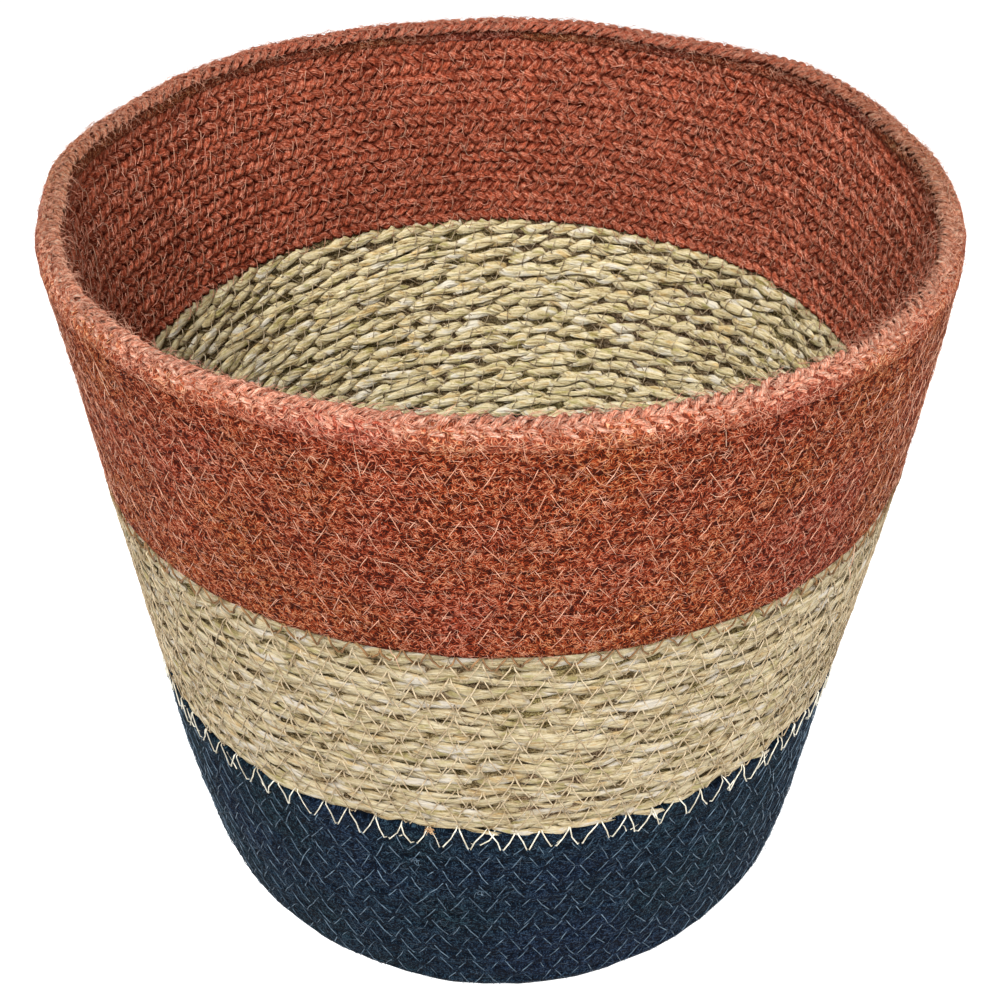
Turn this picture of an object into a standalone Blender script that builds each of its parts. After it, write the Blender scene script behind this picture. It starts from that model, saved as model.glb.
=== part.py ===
"""Round storage basket, wound as one climbing spiral of plaited and twisted cord.

A flat spiral of navy jute plait is the base. The same plait turns up at the
corner and is the lower wall. A twisted seagrass cord is the middle band, and
a terracotta jute plait is the upper band and the rim. Each turn lies on the
one before it, and the cords meet end to end on the basket's +X side. The
thread that sews the turns together is left out.
"""
import math

import bmesh
import bpy
import numpy as np

# Sizes in metres
RIM_RADIUS = 0.1250
BASE_RADIUS = 0.1032
CORNER_RADIUS = 0.0070
NAVY_CORD = 0.0063
SEAGRASS_CORD = 0.0044
TERRACOTTA_CORD = 0.0066
TURN_GAP = 0.0006
TERRACOTTA_GAP = 0.0009
JOINT_GAP = 0.0003
START_RADIUS = 0.0042
CORNER_EASE = 0.0042

# Turns of each cord, counted from the foot of the corner
FLAT_WALL_TURNS = 1
NAVY_TURNS = 12
SEAGRASS_TURNS = 14
TERRACOTTA_TURNS = 10
EASE_TURNS = 4

# Each turn is a polygon, and the bends of the outline are sampled finely
POINTS_PER_TURN = 16
CORNER_SAMPLES = 100
OUTLINE_SAMPLES = 400
CLIMB_SAMPLES = 4000
WALL_FLARE_POWER = 0.7

# Shares of a cord's own size, and of a gap within which points are merged
FLOOR_CUT_SHARE = 0.1
RIM_END_SHARES = (1.0, 0.8, 0.45)
MERGE_SHARE = 0.01

# Share of a turn in which the upper rows step up, beside the rim's end
STEP_SHARE = 0.125

# Bevel resolution of a cord with six flat sides, and of one with four
HEXAGON = 1
SQUARE = 0

# Colour and roughness of each cord
NAVY = ((0.030, 0.044, 0.075), 0.95)
STRAW = ((0.560, 0.470, 0.290), 0.80)
TERRACOTTA = ((0.420, 0.120, 0.060), 0.95)

NAVY_PITCH = NAVY_CORD + TURN_GAP
SEAGRASS_PITCH = SEAGRASS_CORD + TURN_GAP
TERRACOTTA_PITCH = TERRACOTTA_CORD + TERRACOTTA_GAP
NAVY_HALF_WIDTH = NAVY_CORD / 2 / math.cos(math.pi / 6)
FLOOR_LEVEL = NAVY_HALF_WIDTH * (1 - 2 * FLOOR_CUT_SHARE)
SEAGRASS_END = NAVY_TURNS + SEAGRASS_TURNS
LAST_TURN = SEAGRASS_END + TERRACOTTA_TURNS
NAVY_WALL = NAVY_TURNS * NAVY_PITCH
SEAGRASS_WALL = SEAGRASS_TURNS * SEAGRASS_PITCH
WALL_HEIGHT = NAVY_WALL + SEAGRASS_WALL + TERRACOTTA_TURNS * TERRACOTTA_PITCH


def outer_radius(height):
    """Outer radius of the wall at a height above the floor."""
    rise_share = min(max(height / WALL_HEIGHT, 0), 1)
    return BASE_RADIUS + (RIM_RADIUS - BASE_RADIUS) * rise_share ** WALL_FLARE_POWER


def basket_outline():
    """Line that the turns climb, seen from the side.

    It runs outwards along the floor, round the corner and up the wall. Returns
    its lengths, radii, heights and slopes. The length is zero at the foot of
    the corner and negative on the base.
    """
    corner_top = FLOOR_LEVEL + CORNER_RADIUS
    corner_centre = outer_radius(corner_top) - NAVY_HALF_WIDTH - CORNER_RADIUS
    points = [(0, FLOOR_LEVEL)]
    for angle in np.linspace(-math.pi / 2, 0, CORNER_SAMPLES):
        radius = corner_centre + CORNER_RADIUS * math.cos(angle)
        points.append((radius, corner_top + CORNER_RADIUS * math.sin(angle)))
    wall_end = WALL_HEIGHT + TERRACOTTA_PITCH
    for height in np.linspace(corner_top, wall_end, OUTLINE_SAMPLES)[1:]:
        points.append((outer_radius(height) - NAVY_HALF_WIDTH, height))
    radii, heights = np.array(points).T
    steps = np.hypot(np.diff(radii), np.diff(heights))
    lengths = np.concatenate(([0], np.cumsum(steps))) - corner_centre
    slopes = np.arctan2(np.diff(heights), np.diff(radii))
    return lengths, radii, heights, np.append(slopes, slopes[-1])


def pitch_at(turn):
    """Length of the outline that one turn takes up, at a place in the spiral.

    Round the corner the turns need more room, so there the pitch swells and
    falls back again, by CORNER_EASE in all.
    """
    seagrass_share = min(max(min(turn - NAVY_TURNS, SEAGRASS_END - turn), 0), 1)
    pitch = NAVY_PITCH if turn < NAVY_TURNS + 1 else TERRACOTTA_PITCH
    pitch += (SEAGRASS_PITCH - pitch) * seagrass_share
    ease_share = (turn + FLAT_WALL_TURNS) / EASE_TURNS
    if 0 < ease_share < 1:
        pitch += 6 * ease_share * (1 - ease_share) * CORNER_EASE / EASE_TURNS
    return pitch


def climb_table():
    """Turns of the spiral up the wall, and the outline's length at each."""
    turns = np.linspace(-FLAT_WALL_TURNS, LAST_TURN + 1, CLIMB_SAMPLES)
    pitches = np.array([pitch_at(turn) for turn in turns])
    gains = (pitches[1:] + pitches[:-1]) / 2 * np.diff(turns)
    lengths = np.concatenate(([0], np.cumsum(gains)))
    return turns, lengths - np.interp(0, turns, lengths)


OUTLINE = basket_outline()
CLIMB = climb_table()
FLAT_START_LENGTH = CLIMB[1][0]
CENTRE_LENGTH = OUTLINE[0][0]
BASE_TURNS = (FLAT_START_LENGTH - CENTRE_LENGTH - START_RADIUS) / NAVY_PITCH


def length_at(turn):
    """Length along the outline at a turn of the spiral.

    The rim lies level, so the turns under it climb less and less the nearer
    they are to it, and make up for it in one step beside the rim's end.
    """
    if turn < -FLAT_WALL_TURNS:
        return FLAT_START_LENGTH + (turn + FLAT_WALL_TURNS) * NAVY_PITCH
    level_share = min(max((turn - SEAGRASS_END) / TERRACOTTA_TURNS, 0), 1)
    turned_share = turn % 1
    climbed_share = max(turned_share, 1 - turned_share * (1 - STEP_SHARE) / STEP_SHARE)
    return np.interp(turn, *CLIMB) + level_share * (0.5 - climbed_share) * TERRACOTTA_PITCH


def place_at(turn, sink=0):
    """Point of the spiral at a turn, and the outline's slope there.

    Corners of the polygon lie outside the true round by as much as its sides
    lie inside. A sink moves the point back along the outline.
    """
    length = length_at(turn) - sink
    radius, height, slope = (np.interp(length, OUTLINE[0], column) for column in OUTLINE[1:])
    corner_radius = radius * 2 / (1 + math.cos(math.pi / POINTS_PER_TURN))
    angle = turn * math.tau
    return np.array((corner_radius * math.cos(angle), corner_radius * math.sin(angle), height)), slope


def joint_point(turn, direction, gap):
    """Middle of the polygon's side at a whole turn, drawn back by half a gap."""
    half_step = 0.5 / POINTS_PER_TURN
    before, slope = place_at(turn - half_step)
    after, _ = place_at(turn + half_step)
    along = (after - before) / np.linalg.norm(after - before)
    return (before + after) / 2 + direction * along * gap / 2, slope


def cord_route(first_turn, last_turn, starts_free=False, ends_free=False):
    """Points of one cord with their slopes, from one joint to the next."""
    first = math.ceil(first_turn * POINTS_PER_TURN - 0.5)
    last = math.floor(last_turn * POINTS_PER_TURN - 0.5)
    route = [place_at((index + 0.5) / POINTS_PER_TURN) for index in range(first, last + 1)]
    if not starts_free:
        route.insert(0, joint_point(first_turn, 1, JOINT_GAP))
    if not ends_free:
        route.append(joint_point(last_turn, -1, JOINT_GAP))
    return route


def rim_end(route, cord, last_turn):
    """Last places of the rim's cord, which thins and sinks onto the turn below."""
    shares = [1] * len(route)
    for back, share in enumerate(reversed(RIM_END_SHARES)):
        index = len(route) - 1 - back
        shares[index] = share
        turn = last_turn - (back + 0.5) / POINTS_PER_TURN
        route[index] = place_at(turn, sink=(1 - share) * cord / 2)
    return shares


def make_material(name, look):
    """Plain matt material in a cord's colour."""
    colour, roughness = look
    material = bpy.data.materials.new(name)
    material.use_nodes = True
    shader = material.node_tree.nodes["Principled BSDF"]
    shader.inputs["Base Color"].default_value = (*colour, 1)
    shader.inputs["Roughness"].default_value = roughness
    shader.inputs["Metallic"].default_value = 0
    return material


def least_gap(mesh, sides, count):
    """Least distance between points of turns that lie beside each other."""
    points = np.array([vertex.co[:] for vertex in mesh.vertices[:sides * count]])
    rings = np.arange(len(points)) // sides
    least = math.inf
    for ring in range(count - POINTS_PER_TURN // 2):
        later = points[rings >= ring + POINTS_PER_TURN // 2]
        here = points[rings == ring]
        distances = np.linalg.norm(here[:, None, :] - later[None, :, :], axis=2)
        least = min(least, distances.min())
    return least


def make_cord(name, route, shares, cord, resolution, look, collection):
    """One unbroken tube along a route, with flat sides towards its neighbours."""
    sides = 4 + 2 * resolution
    curve = bpy.data.curves.new(name, "CURVE")
    curve.dimensions = "3D"
    curve.twist_mode = "Z_UP"
    curve.bevel_depth = cord / 2 / math.cos(math.pi / sides)
    curve.bevel_resolution = resolution
    curve.use_fill_caps = True
    spline = curve.splines.new("POLY")
    spline.points.add(len(route) - 1)
    side_turn = math.pi / 4 if resolution == SQUARE else 0
    for point, (place, slope), share in zip(spline.points, route, shares):
        point.co = (*place, 1)
        point.radius = share
        point.tilt = math.pi / 2 - slope + side_turn
    tube = bpy.data.objects.new(name + "_curve", curve)
    collection.objects.link(tube)
    graph = bpy.context.evaluated_depsgraph_get()
    mesh = bpy.data.meshes.new_from_object(tube.evaluated_get(graph))
    print(f"{name}: least gap between turns {least_gap(mesh, sides, len(route)) * 1000:.2f} mm")
    shape = bmesh.new()
    shape.from_mesh(mesh)
    bmesh.ops.remove_doubles(shape, verts=shape.verts, dist=JOINT_GAP * MERGE_SHARE)
    bmesh.ops.recalc_face_normals(shape, faces=shape.faces)
    shape.to_mesh(mesh)
    shape.free()
    mesh.name = name
    mesh.materials.clear()
    mesh.materials.append(make_material(name, look))
    piece = bpy.data.objects.new(name, mesh)
    piece.matrix_world = tube.matrix_world
    collection.objects.link(piece)
    bpy.data.objects.remove(tube, do_unlink=True)
    bpy.data.curves.remove(curve)
    return piece


def make_floor_cutter(collection):
    """Block below the floor, which cuts the underside flat."""
    width = 2 * (BASE_RADIUS + RIM_RADIUS)
    bpy.ops.mesh.primitive_cube_add(size=1, location=(0, 0, -NAVY_CORD))
    cutter = bpy.context.object
    cutter.name = "floor_cutter"
    cutter.scale = (width, width, 2 * NAVY_CORD)
    bpy.ops.object.transform_apply(location=False, rotation=False, scale=True)
    for owner in list(cutter.users_collection):
        owner.objects.unlink(cutter)
    collection.objects.link(cutter)
    cutter.hide_render = True
    cutter.display_type = "WIRE"
    return cutter


def cut_flat(piece, cutter):
    """Take off what lies below the floor."""
    cut = piece.modifiers.new("flat_underside", "BOOLEAN")
    cut.operation = "DIFFERENCE"
    cut.solver = "EXACT"
    cut.object = cutter


def main():
    for old in list(bpy.data.objects):
        bpy.data.objects.remove(old, do_unlink=True)
    basket = bpy.data.collections.new("jute_basket")
    cutters = bpy.data.collections.new("cutters")
    for collection in (basket, cutters):
        bpy.context.scene.collection.children.link(collection)

    seagrass_start = NAVY_TURNS
    terracotta_start = SEAGRASS_END
    wall_start = -FLAT_WALL_TURNS

    route = cord_route(wall_start - BASE_TURNS, wall_start, starts_free=True)
    base = make_cord("base_cord", route, [1] * len(route), NAVY_CORD, SQUARE, NAVY, basket)
    route = cord_route(wall_start, seagrass_start)
    navy = make_cord("navy_wall_cord", route, [1] * len(route), NAVY_CORD, HEXAGON, NAVY, basket)
    route = cord_route(seagrass_start, terracotta_start)
    make_cord("seagrass_cord", route, [1] * len(route), SEAGRASS_CORD, HEXAGON, STRAW, basket)
    route = cord_route(terracotta_start, LAST_TURN, ends_free=True)
    shares = rim_end(route, TERRACOTTA_CORD, LAST_TURN)
    make_cord("terracotta_cord", route, shares, TERRACOTTA_CORD, HEXAGON, TERRACOTTA, basket)

    cutter = make_floor_cutter(cutters)
    for piece in (base, navy):
        cut_flat(piece, cutter)


main()
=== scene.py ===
"""Dressed model of the coiled storage basket.

The basket is one climbing spiral of cord, sewn turn to turn. A navy jute plait
is the base and the lower wall, twisted seagrass is the middle band, and a
terracotta jute plait is the upper band and the rim. On the outside the jute is
rubbed to a felt. Every yarn, leaf, stitch and hair here follows the same
spiral as the part's solids.
"""
import math

import bpy
import numpy as np
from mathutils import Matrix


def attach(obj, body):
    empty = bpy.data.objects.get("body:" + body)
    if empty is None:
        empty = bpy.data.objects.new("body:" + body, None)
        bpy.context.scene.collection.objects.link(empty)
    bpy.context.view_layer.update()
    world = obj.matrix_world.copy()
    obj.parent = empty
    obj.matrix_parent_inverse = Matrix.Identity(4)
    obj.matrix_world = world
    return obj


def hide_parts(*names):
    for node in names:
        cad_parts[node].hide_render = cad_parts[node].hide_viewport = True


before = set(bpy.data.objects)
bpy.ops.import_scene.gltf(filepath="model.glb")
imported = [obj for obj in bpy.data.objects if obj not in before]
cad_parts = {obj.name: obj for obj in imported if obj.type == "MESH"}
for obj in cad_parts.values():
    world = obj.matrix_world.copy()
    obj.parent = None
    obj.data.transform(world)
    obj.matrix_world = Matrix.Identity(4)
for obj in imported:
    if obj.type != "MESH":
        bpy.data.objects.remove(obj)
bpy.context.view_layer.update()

# Sizes in metres and turns of the spiral, the same as in the part's own source
RIM_RADIUS = 0.1250
BASE_RADIUS = 0.1032
CORNER_RADIUS = 0.0070
NAVY_CORD = 0.0063
NAVY_PITCH = 0.0069
SEAGRASS_PITCH = 0.0050
TERRACOTTA_PITCH = 0.0075
START_RADIUS = 0.0042
CORNER_EASE = 0.0042
BASE_END = -1
NAVY_TURNS = 12
SEAGRASS_TURNS = 14
TERRACOTTA_TURNS = 10
EASE_TURNS = 4
STEP_SHARE = 0.125
WALL_FLARE_POWER = 0.7
MIDDLE_TURNS = 1.1
MIDDLE_RADIUS = 0.0030

HALF_WIDTH = NAVY_CORD / 2 / math.cos(math.pi / 6)
FLOOR_LEVEL = HALF_WIDTH * 0.8
SEAGRASS_END = NAVY_TURNS + SEAGRASS_TURNS
LAST_TURN = SEAGRASS_END + TERRACOTTA_TURNS
WALL_HEIGHT = (NAVY_TURNS * NAVY_PITCH + SEAGRASS_TURNS * SEAGRASS_PITCH
               + TERRACOTTA_TURNS * TERRACOTTA_PITCH)

# How much lower the middle rows lie at the back than even rows would, from which
# turn on, and how much higher the navy and the seagrass reach
SAG_START = 3
BACK_SAG = 0.0127
NAVY_RISE = 0.0026
BAND_RISE = 0.0026

# The unevenness of a soft basket made by hand. Each bulge of the rim's radius and
# each rise of its height has a size, the way that it faces and how narrow it is
FRONT_FULLNESS = 0.0015
LEFT_FLATNESS = 0.0016
RIGHT_FLATNESS = 0.0014
FLAT_NARROW = 10
LEFT_WAIST = 0.0007
RIGHT_WAIST = 0.0020
WAIST_SHARE = 0.40
WAIST_SPREAD = 0.14
FOOT_FULLNESS = 0.0012
WALL_RIPPLE = 0.0003
RIM_TILT = 0.0004
RIM_BULGES = ((0.0025, 3.03, 53), (0.0008, 2.35, 40), (0.0010, -0.02, 60))
RIM_RISES = ((0.0020, 0.62, 20), (-0.0004, 1.00, 30), (0.0010, 1.42, 30))
UPPER_LEAN = 0.0030
LOWER_LEAN = 0.0008
LOWER_LEAN_SHARE = 0.25
LOWER_LEAN_SPREAD = 0.12
ROW_SWELL = 0.00018
FACE_SWELL = 0.00022

# The plait: five yarns, and how far they swing across it and through it
PLAIT_YARNS = 5
PLAIT_REPEAT = 0.0200
YARN = 0.0032
HALF_DEPTH = 0.0017
JUTE_OUT = 0.0006
JUTE_FACE = 0.0036
JUTE_INNER_FACE = JUTE_OUT - HALF_DEPTH - YARN / 2
ROW_GROOVE = 0.0004
YARN_TWIST = 0.011

# The rim: the same plait, rolled over the top edge of the wall
RIM_PLIES = 3
RIM_PLY = 0.0014
RIM_PLY_OFFSET = 0.00080
RIM_PLY_LAY = 0.0090
RIM_HALF_SWING = 0.0033
RIM_HALF_DEPTH = 0.0010
RIM_BEND = 0.0033
RIM_FACE = 0.0054
RIM_AXIS_OUT = -0.0012
RIM_AXIS_UP = -0.0025
RIM_CORE = 0.0072
RIM_CORE_OUT = 0.0003
RIM_CORE_UP = -0.0020
RIM_LEAN = 1.50
RIM_LEAN_SWAY = 0.45
RIM_START = 35.11
RIM_LAP = 0.025
RIM_END = RIM_START + 1 + RIM_LAP

# The seagrass: two plies laid round each other
PLY = 0.0036
PLY_OFFSET = 0.0012
SEAGRASS_LAY = 0.0230
SEAGRASS_OUT = 0.0006
SEAGRASS_FACE = 0.0032
LEAF_TWIST = -0.030

# Where one strand of a cord is cut into lengths, in turns
NAVY_CUTS = (BASE_END, 3.5, 7.75, NAVY_TURNS)
SEAGRASS_CUTS = (NAVY_TURNS, 17, 21.6, SEAGRASS_END)
TERRACOTTA_CUTS = (SEAGRASS_END, 30.5, 35.12)

# Where the stitches of the base start, in turns
BASE_SEAM_START = -11.5

# Least heights above the floor of strands and hairs, and of stitches
STRAND_CLEARANCE = 0.0002
THREAD_CLEARANCE = 0.0001

# Radii of the sewing threads
FINEST_THREAD = 0.00012
FINE_THREAD = 0.00014
MIDDLE_THREAD = 0.00020
COARSE_THREAD = 0.00022
COARSEST_THREAD = 0.00030

# Darkest and lightest colours of the sewing threads and the loose fibre
THREAD_COLOURS = {
    "terracotta_thread": ((0.29, 0.105, 0.054), (0.54, 0.28, 0.185)),
    "rust_thread": ((0.10, 0.050, 0.016), (0.23, 0.115, 0.042)),
    "cream_thread": ((0.41, 0.37, 0.28), (0.71, 0.67, 0.56)),
    "straw_thread": ((0.235, 0.165, 0.088), (0.45, 0.36, 0.235)),
    "slate_thread": ((0.020, 0.042, 0.070), (0.115, 0.170, 0.220)),
    "knot_fibre": ((0.22, 0.110, 0.045), (0.52, 0.33, 0.17)),
    "terracotta_fibre": ((0.25, 0.078, 0.044), (0.58, 0.30, 0.20)),
    "terracotta_inner_fibre": ((0.50, 0.13, 0.070), (0.84, 0.42, 0.29)),
    "navy_fibre": ((0.012, 0.022, 0.038), (0.060, 0.090, 0.125)),
    "pale_fibre": ((0.37, 0.175, 0.098), (0.64, 0.40, 0.28)),
}

# Where sewing threads were knotted off: turns, and the level beside the spiral
KNOTS = ((12.724, -0.0022),)
THREAD_ENDS = ((10.7175, -0.0045), (8.744, -0.0034))


def basket_outline():
    """Lengths, radii, heights and slopes of the line that the turns climb."""
    corner_top = FLOOR_LEVEL + CORNER_RADIUS
    corner_centre = outer_radius(corner_top) - HALF_WIDTH - CORNER_RADIUS
    bend = np.linspace(-math.pi / 2, 0, 100)
    rise = np.linspace(corner_top, WALL_HEIGHT + 2 * TERRACOTTA_PITCH, 400)[1:]
    radii = np.concatenate((
        [0], corner_centre + CORNER_RADIUS * np.cos(bend), outer_radius(rise) - HALF_WIDTH))
    heights = np.concatenate(([FLOOR_LEVEL], corner_top + CORNER_RADIUS * np.sin(bend), rise))
    pieces = np.hypot(np.diff(radii), np.diff(heights))
    lengths = np.concatenate(([0], np.cumsum(pieces))) - corner_centre
    slopes = np.arctan2(np.diff(heights), np.diff(radii))
    return lengths, radii, heights, np.append(slopes, slopes[-1])


def outer_radius(height):
    """Outer radius of the wall at a height above the floor."""
    share = np.clip(height / WALL_HEIGHT, 0, 1)
    return BASE_RADIUS + (RIM_RADIUS - BASE_RADIUS) * share ** WALL_FLARE_POWER


def climb_table():
    """Turns of the spiral up the wall, and the outline's length at each."""
    turns = np.linspace(BASE_END, LAST_TURN + 2, 4000)
    seagrass = np.clip(np.minimum(turns - NAVY_TURNS, SEAGRASS_END - turns), 0, 1)
    ease = np.clip((turns - BASE_END) / EASE_TURNS, 0, 1)
    pitch = np.where(turns < NAVY_TURNS + 1, NAVY_PITCH, TERRACOTTA_PITCH)
    pitch = pitch + (SEAGRASS_PITCH - pitch) * seagrass
    pitch = pitch + 6 * ease * (1 - ease) * CORNER_EASE / EASE_TURNS
    lengths = np.concatenate(([0], np.cumsum((pitch[1:] + pitch[:-1]) / 2 * np.diff(turns))))
    return turns, lengths - np.interp(0, turns, lengths)


OUTLINE = basket_outline()
CLIMB = climb_table()
BASE_START = BASE_END - (CLIMB[1][0] - OUTLINE[0][0] - START_RADIUS) / NAVY_PITCH
BASE_MIDDLE = BASE_START - MIDDLE_TURNS


def length_at(turns):
    """Length along the outline at turns of the spiral.

    The rim lies level: the rows under it climb less the nearer they are to it,
    and step up beside its end. The middle rows lie lower at the back.
    """
    turned = turns % 1
    climbed = np.maximum(turned, 1 - turned * (1 - STEP_SHARE) / STEP_SHARE)
    climbed = np.where(turns > LAST_TURN, 1 + turns - LAST_TURN, climbed)
    level = np.clip((turns - SEAGRASS_END) / TERRACOTTA_TURNS, 0, 1)
    wall = np.interp(turns, *CLIMB) + level * (0.5 - climbed) * TERRACOTTA_PITCH
    back = ((1 + np.sin(turns * math.tau)) / 2) ** 3
    sag = np.interp(turns, (SAG_START, NAVY_TURNS, SEAGRASS_END - 2), (0, 1, 0))
    wall = wall - BACK_SAG * back * sag
    wall = wall + np.interp(turns, (SAG_START, NAVY_TURNS, SEAGRASS_END, LAST_TURN - 2),
                            (0, NAVY_RISE, BAND_RISE, 0))
    return np.where(turns < BASE_END, CLIMB[1][0] + (turns - BASE_END) * NAVY_PITCH, wall)


def row_edges(turns):
    """Where a row ends below and above the spiral, half way to its neighbours."""
    here = length_at(turns)
    above = (length_at(turns + 1) - here) / 2
    above = np.where(turns > LAST_TURN - 1 + STEP_SHARE, TERRACOTTA_PITCH / 2, above)
    return (here - length_at(turns - 1)) / 2, above


def distance_table():
    """Length of cord from the middle of the base to each turn.

    The cord can't bend tighter than a small radius, so its first turn, which
    closes the middle of the base, counts as if it lay at that radius.
    """
    turns = np.linspace(BASE_MIDDLE, LAST_TURN + 0.3, 30000)
    radii = np.maximum(np.interp(length_at(turns), OUTLINE[0], OUTLINE[1]), MIDDLE_RADIUS)
    steps = (radii[1:] + radii[:-1]) / 2 * math.tau * np.diff(turns)
    return turns, np.concatenate(([0], np.cumsum(steps)))


ROUTE = distance_table()


def distance_at(turns):
    """Length of cord up to these turns."""
    return np.interp(turns, *ROUTE)


def turn_at(distance):
    """Turn of the spiral at a length of cord."""
    return np.interp(distance, ROUTE[1], ROUTE[0])


def swell(distance, pace, seed):
    """Slow uneven swell along a cord, between about -1 and 1."""
    total = 0
    for order, share in ((1.0, 0.5), (1.73, 0.3), (2.91, 0.2)):
        total = total + share * np.sin(math.tau * distance / pace * order + seed * order * 2.4)
    return total


def facing(angle, way, narrow):
    """How much a place faces one way, from 0 to 1."""
    return np.clip(np.cos(angle - way), 0, 1) ** narrow


def on_spiral(turns, up=0.0, out=0.0):
    """Points beside the spiral: up along the wall from it, and out from the basket.

    The basket is not quite round or upright: it is a little flat at the two
    sides, full beside the front, and its wall leans to one side half way up.
    """
    distance = distance_at(turns)
    up = up + ROW_SWELL * swell(distance, 0.041, 3)
    out = out + FACE_SWELL * swell(distance, 0.036, 5)
    length = length_at(turns) + up
    radius, height, slope = (np.interp(length, OUTLINE[0], column) for column in OUTLINE[1:])
    radius = radius + out * np.sin(slope)
    height = height - out * np.cos(slope)
    angle = turns * math.tau
    share = np.clip(height / WALL_HEIGHT, 0, 1)
    full = np.sin(2 * angle) ** 2 * np.clip(-4 * np.sin(angle), 0, 1)
    left_flat = np.clip(-np.cos(angle - 0.16), 0, 1) ** FLAT_NARROW
    right_flat = facing(angle, 0, FLAT_NARROW)
    radius = radius + share * (FRONT_FULLNESS * full - LEFT_FLATNESS * left_flat
                               - RIGHT_FLATNESS * right_flat)
    for size, way, narrow in RIM_BULGES:
        radius = radius + share * size * facing(angle, way, narrow)
    waist = RIGHT_WAIST * right_flat + LEFT_WAIST * left_flat
    radius = radius - waist * np.exp(-((share - WAIST_SHARE) / WAIST_SPREAD) ** 2)
    radius = radius + FOOT_FULLNESS * np.clip(-np.sin(angle), 0, 1) ** 8 * (1 - share) ** 8
    radius = radius + share * WALL_RIPPLE * np.sin(5 * angle + 16 * height)
    height = height + share * (WALL_RIPPLE * np.sin(3 * angle + 1.1) + RIM_TILT * np.sin(angle))
    for size, way, narrow in RIM_RISES:
        height = height + share * size * facing(angle, way, narrow)
    lean = UPPER_LEAN * share ** 3 * np.sin(math.pi * share)
    lean = lean - LOWER_LEAN * np.exp(-((share - LOWER_LEAN_SHARE) / LOWER_LEAN_SPREAD) ** 2)
    return np.stack((radius * np.cos(angle) + lean, radius * np.sin(angle), height), axis=-1)


def steps_between(first, last, step):
    """Evenly spaced lengths of cord between two turns, and their turns."""
    start, end = distance_at(first), distance_at(last)
    distance = np.linspace(start, end, max(2, round((end - start) / step) + 1))
    return distance, turn_at(distance)


def face_out(turns, up):
    """How far the outer face stands out at a height beside the spiral.

    The seagrass band reaches half a row past its first and last turns.
    """
    below, above = row_edges(turns)
    row = turns + np.where(up > 0, up / above, up / below) / 2
    seagrass = np.clip(np.minimum(row - NAVY_TURNS + 0.55, SEAGRASS_END - 0.45 - row) * 6, 0, 1)
    return JUTE_FACE + (SEAGRASS_FACE - JUTE_FACE) * seagrass


def pressed(out, face, share):
    """Depths of strands, of which what stands past a face is pressed back to a share."""
    return np.where(out > face, face + (out - face) * share, out)


def roll_over(turns, up, out):
    """Roll a flat plait over the top edge of the wall.

    The roll looks out at the front of the basket and in at the back, so that
    its herringbone shows at both.
    """
    angle = RIM_LEAN + RIM_LEAN_SWAY * np.sin(turns * math.tau) + up / RIM_FACE
    reach = RIM_BEND + out
    return RIM_AXIS_UP + reach * np.sin(angle), RIM_AXIS_OUT + reach * np.cos(angle)


def deselect():
    """Leave nothing selected."""
    for chosen in bpy.context.selected_objects:
        chosen.select_set(False)


def curve_to_mesh(name, splines, section=None, resolution=1, upright=False):
    """A bundle of strands, one spline each, turned into one mesh.

    They are round, or have the section of another curve.
    """
    curve = bpy.data.curves.new(name, "CURVE")
    curve.dimensions = "3D"
    curve.twist_mode = "Z_UP" if upright else "MINIMUM"
    curve.use_fill_caps = True
    if section:
        curve.bevel_mode = "OBJECT"
        curve.bevel_object = section
    else:
        curve.bevel_depth = 1
        curve.bevel_resolution = resolution
    for points, radii in splines:
        spline = curve.splines.new("POLY")
        spline.points.add(len(points) - 1)
        spline.points.foreach_set("co", np.column_stack((points, np.ones(len(points)))).ravel())
        spline.points.foreach_set("radius", radii)
    piece = bpy.data.objects.new(name, curve)
    bpy.context.collection.objects.link(piece)
    deselect()
    bpy.context.view_layer.objects.active = piece
    piece.select_set(True)
    bpy.ops.object.convert(target="MESH")
    bpy.ops.object.shade_smooth()
    piece.data.name = name
    return piece


def finish_piece(piece, material, node=None):
    """Give a piece its finish and its body, and hide the node that it stands for."""
    piece.data.materials.clear()
    piece.data.materials.append(material)
    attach(piece, "root")
    if node:
        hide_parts(node)
    deselect()
    return piece


def set_values(mesh, name, kind, values):
    """Store one value or vector on every point of a mesh."""
    layer = mesh.attributes.new(name, kind, "POINT")
    field = "value" if kind == "FLOAT" else "vector"
    layer.data.foreach_set(field, values.astype(np.float32).ravel())


def with_ends(tubes):
    """The same values in the order of the mesh, which lists the end caps first."""
    ends = np.stack((tubes[::-1, -1], tubes[::-1, 0]), axis=1)
    width = tubes.shape[-1]
    return np.concatenate((ends.reshape(-1, width), tubes.reshape(-1, width)))


def set_points(piece, points):
    """Move every point of a bundle of strands to its place on the basket."""
    piece.data.vertices.foreach_set("co", with_ends(points).astype(np.float32).ravel())
    piece.data.update()


def strand_bundle(name, along, across, out, widths, resolution):
    """Straight strands as one mesh, and its points by strand, step and side."""
    count, steps = across.shape
    sides = 4 + 2 * resolution
    splines = [(np.column_stack((along[k], across[k], out[k])), widths[k]) for k in range(count)]
    piece = curve_to_mesh(name, splines, resolution=resolution, upright=True)
    points = np.empty(len(piece.data.vertices) * 3, np.float32)
    piece.data.vertices.foreach_get("co", points)
    tubes = points.reshape(-1, 3)[-count * steps * sides:].reshape(count, steps, sides, 3)
    return piece, tubes.astype(float)


def straight_strands(name, distance, across, out, thickness, resolution):
    """Strands as they lie before they are wound: x along, y up the wall, z out of it."""
    along = np.broadcast_to(distance - distance[0], across.shape)
    return strand_bundle(name, along, across, out, thickness / 2, resolution)


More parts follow.
